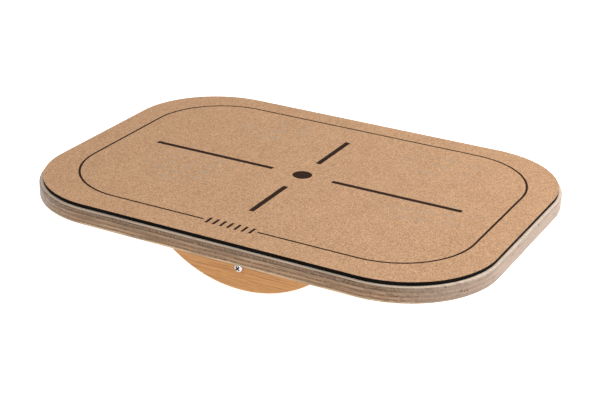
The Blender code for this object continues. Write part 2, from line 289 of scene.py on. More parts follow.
class GrowthTree(NodeSheet):
    """A Geometry Nodes tree under construction, with named inputs, that ends as a plain mesh."""

    def __init__(self, name: str) -> None:
        """Start a tree.

        Args:
            name: The tree's name.
        """
        super().__init__(bpy.data.node_groups.new(name, "GeometryNodeTree"))
        for way in ("INPUT", "OUTPUT"):
            self.tree.interface.new_socket("Geometry", in_out=way, socket_type="NodeSocketGeometry")
        self.entry = self.tree.nodes.new("NodeGroupInput")

    def named(self, name: str, kind: str = "Float") -> Wire:
        """Add a named input of a kind, such as Int or Material."""
        self.tree.interface.new_socket(name, in_out="INPUT", socket_type=f"NodeSocket{kind}")
        return Wire(self, self.entry.outputs[name])

    def out(self, kind: str, inputs: Inputs = None, **settings: Any) -> Wire:
        """Add a Geometry Nodes node, named without its prefix, and follow its first output."""
        return self.wire(f"GeometryNode{kind}", inputs, **settings)

    def join(self, *parts: Wire) -> Wire:
        """Put several geometries together.

        Args:
            *parts: The geometries.

        Returns:
            All of them as one.
        """
        made = self.node("GeometryNodeJoinGeometry")
        for part in reversed(parts):
            self.feed(made.inputs[0], part)
        return Wire(self, made.outputs[0])

    def moved(self, geometry: Wire, place: Wire, turn: Triple = (0.0, 0.0, 0.0)) -> Wire:
        """Turn a geometry about the origin and move it."""
        return self.out("Transform", {"Geometry": geometry, "Translation": place, "Rotation": turn})

    def rounded_rail(self, width: Wire, depth: Wire, radius: Wire, steps: int) -> Wire:
        """Lay a level rectangle with round corners, whose profile's X points outwards and Y down.

        Args:
            width: Its size along X.
            depth: Its size along Y.
            radius: Its corners' radius.
            steps: The segments in each corner.

        Returns:
            The curve.
        """
        sharp = self.out("CurvePrimitiveQuadrilateral", {"Width": width, "Height": depth}, mode="RECTANGLE")
        corners = {"Curve": sharp, "Count": steps, "Radius": radius}
        soft = self.out("FilletCurve", corners, mode="POLY")
        return self.out("SetCurveNormal", {"Curve": soft}, mode="Z_UP")

    def on_line(self, piece: Wire, start: Wire, end: Wire, count: Any) -> Wire:
        """Repeat a piece on evenly spaced points.

        Args:
            piece: What is repeated.
            start: The first point.
            end: The last point.
            count: The number of points.

        Returns:
            The instances.
        """
        line = {"Start Location": start, "Offset": end, "Count": count}
        places = self.out("MeshLine", line, mode="END_POINTS")
        return self.out("InstanceOnPoints", {"Points": places, "Instance": piece})

    def finish(self, geometry: Wire) -> None:
        """Realise the instances, set the named material and wire the tree's output.

        Args:
            geometry: What the tree has made.
        """
        real = self.out("RealizeInstances", {"Geometry": geometry})
        dressed = self.out("SetMaterial", {"Geometry": real, "Material": self.named("Material", "Material")})
        self.node("NodeGroupOutput", {0: dressed})

    def grow(self, name: str, values: dict[str, Any], seed: Mesh | None = None) -> Object:
        """Run the tree once and keep its result as a plain mesh object.

        Args:
            name: The new object's name.
            values: The tree's inputs by name; any others are passed over.
            seed: The mesh that enters the tree, where it takes one.

        Returns:
            The object, with no modifier left on it.
        """
        made = link_object(name, seed or bpy.data.meshes.new(f"{name}_seed"))
        modifier = made.modifiers.new(name, "NODES")
        modifier.node_group = self.tree
        for item in self.tree.interface.items_tree:
            if item.in_out == "INPUT" and item.name in values:
                modifier[item.identifier] = values[item.name]
        return freeze(made)


# ---- Mesh helpers ----


def link_object(name: str, data: bpy.types.ID) -> Object:
    """Add an object for a mesh, a light or a camera to the scene.

    Args:
        name: The object's name.
        data: What it shows.

    Returns:
        The object.
    """
    made = bpy.data.objects.new(name, data)
    bpy.context.scene.collection.objects.link(made)
    return made


def freeze(obj: Object) -> Object:
    """Replace an object's mesh by what its modifiers make of it, and remove them.

    Args:
        obj: The object.

    Returns:
        The same object.
    """
    bpy.context.view_layer.update()
    graph = bpy.context.evaluated_depsgraph_get()
    plain = bpy.data.meshes.new_from_object(obj.evaluated_get(graph), depsgraph=graph)
    plain.name = obj.name
    obj.modifiers.clear()
    obj.data = plain
    return obj


def object_from(name: str, bm: bmesh.types.BMesh, material: Material) -> Object:
    """Turn a bmesh into an object whose faces point outwards, and free the bmesh.

    Args:
        name: The object's name.
        bm: Its shape.
        material: Its finish.

    Returns:
        The object.
    """
    bmesh.ops.recalc_face_normals(bm, faces=bm.faces)
    mesh = bpy.data.meshes.new(name)
    bm.to_mesh(mesh)
    bm.free()
    mesh.materials.append(material)
    return link_object(name, mesh)


def cut(obj: Object, cutter: Object) -> None:
    """Take one solid from another and drop the cutter; the cut faces keep the cutter's material.

    Args:
        obj: The solid that stays.
        cutter: The solid that is taken away and removed.
    """
    modifier = obj.modifiers.new("cut", "BOOLEAN")
    modifier.object = cutter
    modifier.operation = "DIFFERENCE"
    modifier.solver = "EXACT"
    modifier.material_mode = "TRANSFER"
    freeze(obj)
    bpy.data.objects.remove(cutter)


def loft(bm: bmesh.types.BMesh, rings: Sequence[Ring]) -> list[bmesh.types.BMVert]:
    """Join rings of equally many points with quads, and close the first one.

    Args:
        bm: The mesh that they are added to.
        rings: The rings, in order.

    Returns:
        The corners of the last one, which stays open.
    """
    loops = [[bm.verts.new(point) for point in ring] for ring in rings]
    bm.faces.new(reversed(loops[0]))
    for lower, upper in zip(loops, loops[1:]):
        for i, corner in enumerate(lower):
            j = (i + 1) % len(lower)
            bm.faces.new((corner, lower[j], upper[j], upper[i]))
    return loops[-1]


def lofted(name: str, material: Material, *solids: Sequence[Ring]) -> Object:
    """Make an object of closed solids.

    Args:
        name: The object's name.
        material: Its finish.
        *solids: Each solid's rings, in order.

    Returns:
        The object.
    """
    bm = bmesh.new()
    for rings in solids:
        bm.faces.new(loft(bm, rings))
    return object_from(name, bm, material)


def turned(profile: Sequence[Pair], steps: int, place: Matrix = Matrix.Identity(4)) -> list[Ring]:
    """Lay out the rings of a turned piece.

    Args:
        profile: Its radius and height, in pairs along its axis.
        steps: The points in each ring.
        place: Where it stands.

    Returns:
        A ring for each pair.
    """
    turns = [FULL_TURN * step / steps for step in range(steps)]
    rings = []
    for radius, height in profile:
        rings.append([place @ Vector((radius * math.cos(t), radius * math.sin(t), height)) for t in turns])
    return rings


def lying(height: float) -> Matrix:
    """Turn an upright axis to run along Y at a height."""
    return Matrix.Translation((0, 0, height)) @ Matrix.Rotation(-QUARTER_TURN, 4, "X")


def present(obj: Object, slot: str, *nodes: str) -> None:
    """Smooth a finished piece, make it stand for its CAD nodes and ride on the board, and report it.

    Args:
        obj: The piece.
        slot: Not used.
        *nodes: The CAD nodes that it replaces.
    """
    obj.data.shade_smooth()
    obj.data.set_sharp_from_angle(angle=SMOOTH_ANGLE)
    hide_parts(*nodes)
    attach(obj, BODY)
    LOG.info("%s: %d faces, for %s", obj.name, len(obj.data.polygons), ", ".join(nodes))


# ---- Finishes ----


@dataclass(frozen=True)
class SolePrint:
    """A faint dusty print of a shoe's sole on the mat: rows of soft bars inside an oval."""

    x_mm: float
    y_mm: float
    turn: float
    strength: float
    half_width_mm: float
    half_length_mm: float
    column_mm: float
    row_mm: float
    rim: Pair = (0.6, 1.0)
    column_band: Pair = (-1.2, 0.2)
    row_band: Pair = (-0.5, 0.9)

    def mask(self, sheet: FinishSheet) -> Wire:
        """Find where the print shows.

        Args:
            sheet: The material.

        Returns:
            A value from 0 to the print's strength.
        """
        lay = {"Vector": sheet.mm, "Location": (self.x_mm, self.y_mm, 0.0)}
        lay["Rotation"] = (0.0, 0.0, math.radians(self.turn))
        across, along, _ = sheet.parts(sheet.wire("ShaderNodeMapping", lay, vector_type="TEXTURE"))
        oval = sheet.vector(across / self.half_width_mm, along / self.half_length_mm, 0.0)
        reach = sheet.wire("ShaderNodeVectorMath", {0: oval}, "Value", operation="LENGTH")
        mask = 1.0 - sheet.between(reach, *self.rim)
        bars = ((across, self.column_mm, self.column_band), (along, self.row_mm, self.row_band))
        for place, pitch, band in bars:
            mask = mask * sheet.between(sheet.calc("COSINE", place * (FULL_TURN / pitch)), *band)
        return mask * self.strength


@dataclass(frozen=True)
class CorkFinish:
    """Fine pressed cork: tan granules with dark specks, dull, with a few dusty sole prints."""

    granule_mm: float = 0.8
    speck_mm: float = 0.85
    speck_band: Pair = (0.63, 0.72)
    gap_width: float = 0.12
    dust_band: Pair = (0.3, 0.65)
    relief: Pair = (0.35, 0.00012)
    dark: Triple = (0.345, 0.186, 0.092)
    middle: Triple = (0.560, 0.330, 0.186)
    light: Triple = (0.74, 0.462, 0.275)
    speck: Triple = (0.12, 0.055, 0.025)
    dust: Triple = (0.44, 0.325, 0.240)
    prints: tuple[SolePrint, ...] = (
        SolePrint(-104.0, -36.0, -7.0, 0.55, 52.0, 52.0, 22.0, 14.5),
        SolePrint(134.0, -14.0, 11.0, 0.50, 50.0, 42.0, 21.0, 18.0),
        SolePrint(-76.0, 90.0, 8.0, 0.42, 46.0, 40.0, 31.0, 19.0),
        SolePrint(102.0, 88.0, -8.0, 0.42, 50.0, 40.0, 33.0, 20.0),
    )

    def make(self) -> Material:
        """Build the material.

        Returns:
            The cork.
        """
        sheet = FinishSheet("fine_cork")
        tone = sheet.parts(sheet.cells(sheet.mm, self.granule_mm, "Color"))[0]
        fine = sheet.noise(sheet.mm, 2.1, 3)
        drift = sheet.noise(sheet.mm, 0.03, 3)
        mixed = tone * 0.62 + (fine * 0.7 - 0.16) + (drift - 0.5) * 0.15
        colour = sheet.ramp(mixed, ((0.15, self.dark), (0.5, self.middle), (0.85, self.light)))
        specks = sheet.between(sheet.noise(sheet.mm, 1 / self.speck_mm, 1), *self.speck_band)
        seams = sheet.cells(sheet.mm, self.granule_mm, feature="DISTANCE_TO_EDGE")
        gaps = 1.0 - sheet.between(seams, 0.0, self.gap_width)
        dusty = 0.0
        for sole in self.prints:
            dusty = sheet.most(dusty, sole.mask(sheet))
        patchy = sheet.between(sheet.noise(sheet.mm, 0.12, 4, 0.4), *self.dust_band)
        tints = ((specks * 0.7, self.speck), (gaps * 0.15, self.dark), (dusty * patchy, self.dust))
        for amount, tint in tints:
            colour = sheet.blend(amount, colour, tint)
        sheet.bump(tone * 0.5 + fine * 0.5 - gaps * 0.4, *self.relief)
        return sheet.dress(colour, fine * 0.15 + 0.78, Specular_IOR_Level=0.2)


@dataclass(frozen=True)
class MottledFinish:
    """An even material whose tone drifts between two colours: burnt cork, rubber, metal, and the dark
    painted shade inside the screw recesses.
    """

    name: str
    first: tuple[float, Triple]
    last: tuple[float, Triple]
    tone_per_mm: float
    grain_per_mm: float
    roughness: float
    roughness_swing: float = 0.0
    detail: float = 3.0
    swirl: float = 0.0
    relief: Pair | None = None
    specular: float = 0.5
    metallic: float = 0.0

    def make(self) -> Material:
        """Build the material.

        Returns:
            The finish that the fields describe.
        """
        sheet = FinishSheet(self.name)
        scales = (self.tone_per_mm, self.grain_per_mm)
        tone, grain = (sheet.noise(sheet.mm, scale, self.detail, self.swirl) for scale in scales)
        colour = sheet.ramp(tone, (self.first, self.last))
        if self.relief:
            sheet.bump(grain, *self.relief)
        rough = grain * self.roughness_swing + self.roughness if self.roughness_swing else self.roughness
        return sheet.dress(colour, rough, Specular_IOR_Level=self.specular, Metallic=self.metallic)


BURNT_CORK = MottledFinish(
    "burnt_cork",
    first=(0.3, (0.020, 0.009, 0.005)),
    last=(0.75, (0.045, 0.022, 0.013)),
    tone_per_mm=1.1,
    grain_per_mm=1.1,
    roughness=0.9,
    relief=(0.4, 0.0001),
    specular=0.12,
)
BLACK_RUBBER = MottledFinish(
    "black_rubber",
    first=(0.4, (0.0032, 0.0029, 0.0027)),
    last=(0.8, (0.0065, 0.006, 0.0055)),
    tone_per_mm=0.08,
    grain_per_mm=2.2,
    roughness=0.75,
    roughness_swing=0.15,
    relief=(0.35, 0.0001),
    specular=0.08,
)
BRIGHT_ZINC = MottledFinish(
    "bright_zinc",
    first=(0.35, (0.52, 0.52, 0.54)),
    last=(0.6, (0.80, 0.80, 0.81)),
    tone_per_mm=0.9,
    grain_per_mm=0.9,
    roughness=0.16,
    roughness_swing=0.2,
    detail=4.0,
    swirl=0.5,
    relief=(0.1, 0.00005),
    metallic=1.0,
)
# Painted shade: a dark, dull metal for the inside of the screws' cross recesses, standing for the shade that
# falls in them.
PAINTED_SHADE_RECESS = MottledFinish(
    "dull_recess",
    first=(0.4, (0.060, 0.052, 0.046)),
    last=(0.75, (0.16, 0.15, 0.14)),
    tone_per_mm=1.4,
    grain_per_mm=1.4,
    roughness=0.7,
    metallic=0.4,
)


@dataclass(frozen=True)
class PlywoodFinish:
    """Lacquered plywood, whose veneers cross at right angles and show as bands around the edge.

    Heights are shares of the thickness. Each tone is given with the height that it starts at.
    """

    bottom_mm: float
    thickness_mm: float
    face: Triple = (0.78, 0.63, 0.50)
    dark: Triple = (0.075, 0.038, 0.019)
    pale: Triple = (0.62, 0.48, 0.34)
    seams: tuple[float, ...] = (0.165, 0.28, 0.425, 0.545, 0.71, 0.94)
    seam_band: Pair = (0.003, 0.022)
    waviness: float = 0.05
    along_grain: float = 0.018
    across_grain: float = 0.5
    veneer_shift: float = 13.7
    relief: Pair = (0.3, 0.00025)
    long_edge: Stops = (
        (0.0, (0.70, 0.480, 0.282)),
        (0.165, (0.285, 0.162, 0.080)),
        (0.28, (0.440, 0.253, 0.133)),
        (0.425, (0.282, 0.152, 0.074)),
        (0.545, (0.418, 0.258, 0.144)),
        (0.71, (0.158, 0.087, 0.045)),
        (0.82, (0.270, 0.158, 0.086)),
        (0.94, (0.300, 0.200, 0.128)),
    )
    short_edge: Stops = (
        (0.0, (0.385, 0.268, 0.191)),
        (0.165, (0.367, 0.256, 0.187)),
        (0.28, (0.411, 0.289, 0.211)),
        (0.425, (0.340, 0.232, 0.168)),
        (0.545, (0.402, 0.284, 0.208)),
        (0.71, (0.352, 0.248, 0.180)),
        (0.94, (0.448, 0.380, 0.337)),
    )
    knots: tuple[tuple[Triple, float], ...] = (
        ((202.0, -130.5, 64.0), 1.0),
        ((211.0, -118.5, 57.8), 1.1),
        ((212.5, -115.5, 57.1), 0.9),
        ((214.0, -113.0, 56.8), 1.0),
        ((225.0, -26.5, 63.5), 1.0),
        ((225.0, 23.0, 63.5), 1.4),
    )

    def make(self) -> Material:
        """Build the material.

        Returns:
            The plywood.
        """
        sheet = FinishSheet("veneered_plywood")
        height = sheet.parts(sheet.mm)[2]
        wave = sheet.noise(sheet.stretched(sheet.mm, (0.03, 0.03, 0.0)))
        share = (wave - 0.5) * self.waviness + (height - self.bottom_mm) / self.thickness_mm
        share = sheet.calc("MINIMUM", sheet.most(share, 0.003), 0.997)
        index = sum(share > seam for seam in self.seams)
        cross = sheet.calc("MODULO", index, 2.0)
        fibres = self.fibre_place(sheet, index, cross)

        side, _, upright = sheet.parts(sheet.normal)
        short = sheet.between(abs(side), 0.15, 0.85)
        flat = sheet.between(abs(upright), 0.72, 1.0)
        tones = (sheet.ramp(share, edge, "CONSTANT") for edge in (self.long_edge, self.short_edge))
        colour = sheet.blend(flat, sheet.blend(short, *tones), self.face)

        hair = sheet.noise(sheet.stretched(fibres, (3.0, 3.0, 2.5)))
        pattern = hair * 0.35 + sheet.noise(fibres, 1.0, 4, 0.3) * 0.65
        drift = sheet.noise(sheet.stretched(fibres, (1.3, 1.3, 0.5)), 1.0, 3)
        calm = 1.0 - sheet.most(short * 0.5, flat * 0.65)
        glue = self.glue_lines(sheet, share) * calm
        holes = self.holes(sheet, cross)
        layers = (
            ((1.0 - sheet.between(pattern, 0.30, 0.50)) * 0.75 * calm, self.dark),
            (sheet.between(pattern, 0.50, 0.68) * 0.5 * calm, self.pale),
            (sheet.between(drift, 0.45, 0.62) * 0.45 * calm, self.dark),
            (glue * 0.6, self.dark),
            (holes * 0.85, self.dark),
        )
        for amount, tone in layers:
            colour = sheet.blend(amount, colour, tone)
        sheet.bump(pattern * 0.6 - glue * 0.5 - holes, *self.relief)
        lacquer = {"Specular_IOR_Level": 0.35, "Coat_Weight": 0.1, "Coat_Roughness": 0.35}
        return sheet.dress(colour, pattern * 0.2 + 0.40, **lacquer)

    def fibre_place(self, sheet: FinishSheet, index: Wire, cross: Wire) -> Wire:
        """Draw the coordinates out along each veneer's own fibres.

        Args:
            sheet: The material.
            index: The veneer's number from below.
            cross: 0 where the fibres run along X, 1 where they run along Y.

        Returns:
            The place to read the grain at.
        """
        x, y, z = sheet.parts(sheet.mm)
        shift, tall = index * self.veneer_shift, z * 0.9
        along_x = sheet.vector(x * self.along_grain + shift, y * self.across_grain, tall)
        along_y = sheet.vector(x * self.across_grain + shift, y * self.along_grain, tall)
        return sheet.wire("ShaderNodeMix", {0: cross, 4: along_x, 5: along_y}, 1, data_type="VECTOR")

    def glue_lines(self, sheet: FinishSheet, share: Wire) -> Wire:
        """Find the seams between veneers, broken up along their length.

        Args:
            sheet: The material.
            share: The height, from 0 at the bottom face to 1 at the top.

        Returns:
            1 on a seam, 0 away from it.
        """
        line = 0.0
        for seam in self.seams:
            line = sheet.most(line, 1.0 - sheet.between(abs(share - seam), *self.seam_band))
        return line * sheet.between(sheet.noise(sheet.stretched(sheet.mm, (0.05, 0.05, 0.4))), 0.42, 0.62)

    def holes(self, sheet: FinishSheet, cross: Wire) -> Wire:
        """Find the dark pinholes, which are mostly in the crossing veneers, and the knots.

        Args:
            sheet: The material.
            cross: 0 where the fibres run along X, 1 where they run along Y.

        Returns:
            1 in a hole, 0 away from it.
        """
        spots = sheet.cells(sheet.stretched(sheet.mm, (0.038, 0.038, 0.20)))
        holes = (1.0 - sheet.between(spots, 0.05, 0.15)) * (cross * 0.6 + 0.4)
        for centre, radius in self.knots:
            ends = {0: sheet.mm, 1: centre}
            reach = sheet.wire("ShaderNodeVectorMath", ends, "Value", operation="DISTANCE")
            holes = sheet.most(holes, 1.0 - sheet.between(reach, radius * 0.6, radius * 1.2))
        return holes


@dataclass(frozen=True)
class SolidWoodFinish:
    """Solid wood under a thin satin lacquer, with straight streaks and short dark flecks."""

    name: str
    grain: Grain
    light: Triple
    middle: Triple
    dark: Triple
    fleck: Triple
    streak_per_mm: float = 3 / 3.5
    fleck_band: Pair = (0.60, 0.72)
    relief: Pair = (0.22, 0.00015)

    def make(self) -> Material:
        """Build the material.

        Returns:
            The wood.
        """
        sheet = FinishSheet(self.name)
        broad = self.drawn_noise(sheet, 0.010, self.streak_per_mm, 3, 0.25)
        hair = self.drawn_noise(sheet, 0.022, 2.2, 3)
        stops = ((0.36, self.dark), (0.5, self.middle), (0.64, self.light))
        colour = sheet.ramp(hair * 0.5 + broad * 0.5, stops)
        dashes = sheet.between(self.drawn_noise(sheet, 0.06, 1.9, 1), *self.fleck_band)
        colour = sheet.blend(dashes * 0.5, colour, self.fleck)
        sheet.bump(hair - dashes * 0.4, *self.relief)
        lacquer = {"Specular_IOR_Level": 0.45, "Coat_Weight": 0.15, "Coat_Roughness": 0.3}
        return sheet.dress(colour, hair * 0.18 + 0.36, **lacquer)

    def drawn_noise(self, sheet: FinishSheet, share: float, *pattern: float) -> Wire:
        """Add a noise that is drawn out along the fibres, where share is its scale along them."""
        scale = (share, 1.0, 1.0) if self.grain is Grain.ALONG_X else (1.0, share, 1.0)
        return sheet.noise(sheet.stretched(sheet.mm, scale), *pattern)


ROCKER_WOOD = SolidWoodFinish(
    "rocker_wood",
    Grain.ALONG_X,
    light=(0.74, 0.375, 0.124),
    middle=(0.61, 0.282, 0.081),
    dark=(0.39, 0.155, 0.037),
    fleck=(0.22, 0.085, 0.028),
)
TURNED_BEECH = SolidWoodFinish(
    "turned_beech",
    Grain.ALONG_Y,
    light=(0.76, 0.55, 0.36),
    middle=(0.68, 0.46, 0.28),
    dark=(0.56, 0.36, 0.20),
    fleck=(0.38, 0.21, 0.10),
)


@dataclass(frozen=True)
class FloorFinish:
    """A pale, even studio table that glows a little, and is clear from below."""

    base: Triple = (0.90, 0.90, 0.90)
    glow: float = 0.75

    def make(self) -> Material:
        """Build the material.

        Returns:
            The table's finish.
        """
        sheet = FinishSheet("studio_floor")
        sheet.shader.inputs["Emission Color"].default_value = (1.0, 1.0, 1.0, 1.0)
        material = sheet.dress(self.base, 0.9, Emission_Strength=self.glow, Specular_IOR_Level=0.1)
        below = sheet.wire("ShaderNodeNewGeometry", output="Backfacing")
        shown = Wire(sheet, sheet.shader.outputs[0])
        clear = sheet.wire("ShaderNodeBsdfTransparent")
        surface = sheet.wire("ShaderNodeMixShader", {0: below, 1: shown, 2: clear})
        sheet.feed(sheet.tree.nodes["Material Output"].inputs["Surface"], surface)
        return material


# ---- Geometry Nodes trees ----


class SlabTree(GrowthTree):
    """A flat board with round corners and rolled-over edges, swept round its own outline."""

    edge_points = 7
    corner_steps = 48
    weld = 1e-6

    def __init__(self) -> None:
        """Build the tree."""
        super().__init__("rounded_slab")
        length, width, corner = map(self.named, ("Length", "Width", "Corner Radius"))
        bottom, top, edge = map(self.named, ("Bottom", "Top", "Edge Radius"))
        rail = self.rounded_rail(length, width, corner, self.corner_steps)
        profile = self.edge_profile(bottom, top, edge)
        band = self.out("CurveToMesh", {"Curve": rail, "Profile Curve": profile})
        lids = [self.lid(band, bottom, top, upper) for upper in (False, True)]
        closed = self.join(band, *lids)
        self.finish(self.out("MergeByDistance", {"Geometry": closed, "Distance": self.weld}))

    def edge_profile(self, bottom: Wire, top: Wire, edge: Wire) -> Wire:
        """Draw the board's edge in section: an arc, a straight and an arc.

        Args:
            bottom: The height of its lower face.
            top: The height of its upper face.
            edge: The radius of both arcs.

        Returns:
            An open curve, whose X is how far it stands out and whose Y is minus its height.
        """
        line = self.out("CurvePrimitiveLine", {"Start": (0, 0, 0), "End": (0, 1, 0)})
        dots = self.out("ResampleCurve", {"Curve": line, "Count": 2 * self.edge_points}, mode="COUNT")
        index = self.out("InputIndex")
        last = self.edge_points - 1
        first = self.calc("MINIMUM", index / last, 1.0) * QUARTER_TURN
        second = self.calc("MINIMUM", (2 * self.edge_points - 1 - index) / last, 1.0) * QUARTER_TURN
        out = (self.calc("SINE", first) + self.calc("SINE", second) - 2.0) * edge
        rise = (1.0 - self.calc("COSINE", first)) * edge + self.calc("COSINE", second) * edge
        rise = rise + (index > last + 0.5) * (top - bottom - edge * 2.0)
        place = self.vector(out, (bottom + rise) * -1.0, 0.0)
        return self.out("SetPosition", {"Geometry": dots, "Position": place})

    def lid(self, band: Wire, bottom: Wire, top: Wire, upper: bool) -> Wire:
        """Make the flat face that closes the band above or below.

        Args:
            band: The swept edge.
            bottom: The height of the lower face.
            top: The height of the upper face.
            upper: Whether the upper face is wanted.

        Returns:
            The face, pointing outwards.
        """
        middle = (bottom + top) * 0.5
        height = self.parts(self.out("InputPosition"))[2]
        side = height > middle if upper else height < middle
        rim = side * (self.out("InputMeshEdgeNeighbors") < 1.5)
        loop = self.out("MeshToCurve", {"Mesh": band, "Selection": rim})
        face = self.out("FillCurve", {"Curve": loop}, mode="NGONS")
        face = self.moved(face, self.vector(0.0, 0.0, top if upper else bottom))
        return face if upper else self.out("FlipFaces", {"Mesh": face})

    def board(
        self, name: str, low: Vector, high: Vector, corner: float, edge: float, finish: Material
    ) -> Object:
        """Grow one board in its place.

        Args:
            name: The board's name.
            low: The lowest corner of its box.
            high: The highest corner of its box.
            corner: The radius of its corners, seen from above.
            edge: The radius that its edges are eased by.
            finish: Its material.

        Returns:
            The board.
        """
        size, middle = high - low, (high + low) / 2
        values = {"Length": size.x, "Width": size.y, "Bottom": low.z, "Top": high.z}
        values |= {"Corner Radius": corner, "Edge Radius": edge, "Material": finish}
        board = self.grow(name, values)
        board.data.transform(Matrix.Translation((middle.x, middle.y, 0.0)))
        return board


class MarkingTree(GrowthTree):
    """The board's markings as raised solids: a border with a break, a cross of bars, a dot and ticks."""

    corner_steps = 40
    dot_steps = 96

    def __init__(self) -> None:
        """Build the tree."""
        super().__init__("markings")
        floor, roof, offset, radius = map(self.named, ("Floor", "Roof", "Offset Y", "Dot Radius"))
        half_x, half_y = map(self.named, ("Border Half X", "Border Half Y"))
        self.height, self.level = roof - floor, (roof + floor) * 0.5
        dot = self.out("MeshCylinder", {"Vertices": self.dot_steps, "Radius": radius, "Depth": self.height})
        dot = self.moved(dot, self.vector(0.0, offset, self.level))
        border = self.border(half_x, half_y, offset)
        bars = self.bars(half_x, half_y, offset, radius)
        self.finish(self.join(border, bars, dot, self.ticks(offset - half_y)))

    def border(self, half_x: Wire, half_y: Wire, offset: Wire) -> Wire:
        """Make the border line, with its break at the front cut out.

        Args:
            half_x: Half its size along X, to the middle of the line.
            half_y: Half its size along Y.
            offset: How far towards the rear it is set.

        Returns:
            One solid of rectangular section.
        """
        rail = self.rounded_rail(half_x * 2.0, half_y * 2.0, self.named("Border Radius"), self.corner_steps)
        line = self.named("Line Width")
        section = {"Width": line, "Height": self.height}
        section = self.out("CurvePrimitiveQuadrilateral", section, mode="RECTANGLE")
        ring = self.out("CurveToMesh", {"Curve": rail, "Profile Curve": section})
        ring = self.moved(ring, self.vector(0.0, offset, self.level))
        reach = line * 4.0
        block = self.out("MeshCube", {"Size": self.vector(self.named("Break"), reach, reach)})
        block = self.moved(block, self.vector(0.0, offset - half_y, self.level))
        solids = {"Mesh 1": ring, "Mesh 2": block}
        return self.out("MeshBoolean", solids, operation="DIFFERENCE", solver="EXACT")

    def bars(self, half_x: Wire, half_y: Wire, offset: Wire, dot: Wire) -> Wire:
        """Make the four bars of the cross, each instanced on its own point.

        Args:
            half_x: Half the border along X.
            half_y: Half the border along Y.
            offset: How far towards the rear the cross is set.
            dot: The centre dot's radius.

        Returns:
            Instances of the bars.
        """
        width, clear = self.named("Bar Width"), self.named("Bar To Border")
        start = dot + self.named("Bar To Dot")
        pairs = []
        for half, turn in ((half_x, 0.0), (half_y, QUARTER_TURN)):
            length = half - clear - start
            bar = self.out("MeshCube", {"Size": self.vector(length, width, self.height)})
            reach = start + length * 0.5
            pair = self.on_line(bar, self.vector(reach * -1.0, 0.0, 0.0), self.vector(reach, 0.0, 0.0), 2)
            pairs.append(self.moved(pair, self.vector(0.0, offset, self.level), (0.0, 0.0, turn)))
        return self.join(*pairs)

    def ticks(self, front: Wire) -> Wire:
        """Make the row of short upright ticks in the border's break.

        Args:
            front: The Y of the line that they are centred on.

        Returns:
            Instances of the ticks.
        """
        count, spacing = self.named("Tick Count", "Int"), self.named("Tick Spacing")
        size = self.vector(self.named("Tick Width"), self.named("Tick Height"), self.height)
        reach = (count - 1) * spacing * 0.5
        ends = [self.vector(reach * side, front, self.level) for side in (-1.0, 1.0)]
        return self.on_line(self.out("MeshCube", {"Size": size}), *ends, count)


class ScrewRowTree(GrowthTree):
    """Copies of one screw in a row of two mirrored pairs."""

    def __init__(self) -> None:
        """Build the tree."""
        super().__init__("screw_row")
        inner, outer, y, z = map(self.named, ("Inner X", "Outer X", "Y", "Z"))
        screw = Wire(self, self.entry.outputs["Geometry"])
        pairs = []
        for reach in (inner, outer):
            pairs.append(self.on_line(screw, self.vector(reach * -1.0, y, z), self.vector(reach, y, z), 2))
        self.finish(self.join(*pairs))


# ---- Sub-assemblies ----


@dataclass
class Deck:
    """The plywood board, with the countersunk holes that the mat hides."""

    corner_radius: float = 0.090
    edge_radius: float = 0.002
    hole_clearance: float = 0.0003
    hole_steps: int = 32
    head_radius: float = 0.004
    screw_radius: float = 0.002

    def __post_init__(self) -> None:
        """Read the deck's place from the frame."""
        self.low, self.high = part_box("plywood_deck")

    def build(self, slab: SlabTree, screws: Sequence[Vector]) -> None:
        """Make the deck.

        Args:
            slab: The tree that grows boards.
            screws: The middle of each countersunk head's top.
        """
        thickness = (self.high.z - self.low.z) * PER_MM
        finish = PlywoodFinish(self.low.z * PER_MM, thickness).make()
        deck = slab.board("deck", self.low, self.high, self.corner_radius, self.edge_radius, finish)
        cut(deck, lofted("deck_holes", finish, *map(self.hole, screws)))
        present(deck, "plywood", "plywood_deck")

    def hole(self, place: Vector) -> list[Ring]:
        """Lay out one countersunk hole.

        Args:
            place: The middle of its screw's head, at the top.

        Returns:
            The hole's rings, from below.
        """
        shank, head = self.screw_radius + self.hole_clearance, self.head_radius + self.hole_clearance
        profile = (
            (shank, self.low.z - self.edge_radius),
            (shank, place.z - head + shank),
            (head, place.z),
            (head, self.high.z + self.edge_radius),
        )
        return turned(profile, self.hole_steps, Matrix.Translation((place.x, place.y, 0.0)))


